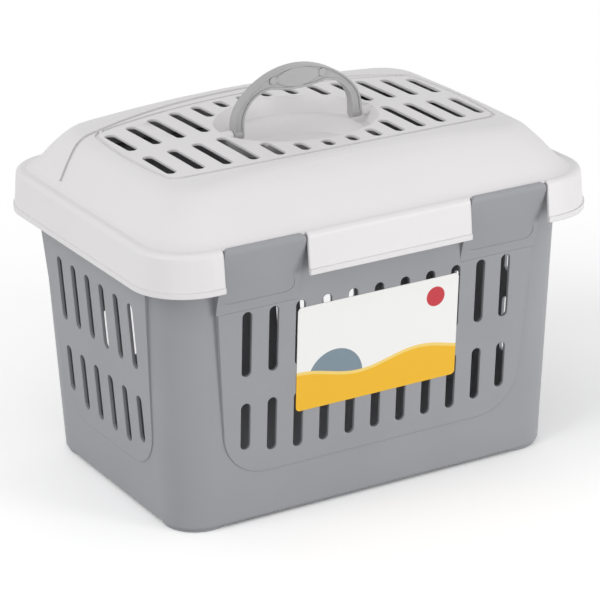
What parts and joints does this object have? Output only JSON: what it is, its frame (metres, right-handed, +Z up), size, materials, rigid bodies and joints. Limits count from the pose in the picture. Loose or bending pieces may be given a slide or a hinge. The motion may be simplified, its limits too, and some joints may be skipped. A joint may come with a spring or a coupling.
{
  "type": "small animal carrier",
  "caption": "Slotted plastic tub with a hinged domed lid, vent slots, folding bail handle, sprung front latch tabs and a blank front card, for carrying a small animal.",
  "frame": {"origin": "middle of the footprint at the level of the feet", "axes": "+X along the long side, -Y towards the front with the latches and the card, +Z up"},
  "size_m": [0.44, 0.318, 0.3575],
  "materials": {
    "tub_plastic": "satin moulded",
    "lid_plastic": "satin moulded",
    "handle_plastic": "smooth moulded",
    "card": "coated"
  },
  "bodies": {
    "base": {"base_tub": "tub_plastic", "hinge_pin_left": "tub_plastic", "hinge_pin_right": "tub_plastic", "label_card": "card"},
    "lid": {"lid_shell": "lid_plastic"},
    "handle": {"carry_handle": "handle_plastic"},
    "left_latch": {"latch_left": "tub_plastic"},
    "right_latch": {"latch_right": "tub_plastic"}
  },
  "joints": [
    {"name": "lid_hinge", "type": "hinge", "parent": "base", "child": "lid", "pos_m": [0, 0.1535, 0.2338], "axis": [-1, 0, 0], "range_deg": [0, 100]},
    {"name": "handle_fold", "type": "hinge", "parent": "lid", "child": "handle", "pos_m": [0, 0, 0.3039], "axis": [1, 0, 0], "range_deg": [-90, 90]},
    {"name": "left_latch_flex", "type": "hinge", "parent": "base", "child": "left_latch", "pos_m": [-0.1195, -0.1376, 0.201], "axis": [1, 0, 0], "range_deg": [0, 10], "stiffness_Nm_per_rad": 4},
    {"name": "right_latch_flex", "type": "hinge", "parent": "base", "child": "right_latch", "pos_m": [0.1195, -0.1376, 0.201], "axis": [1, 0, 0], "range_deg": [0, 10], "stiffness_Nm_per_rad": 4}
  ]
}
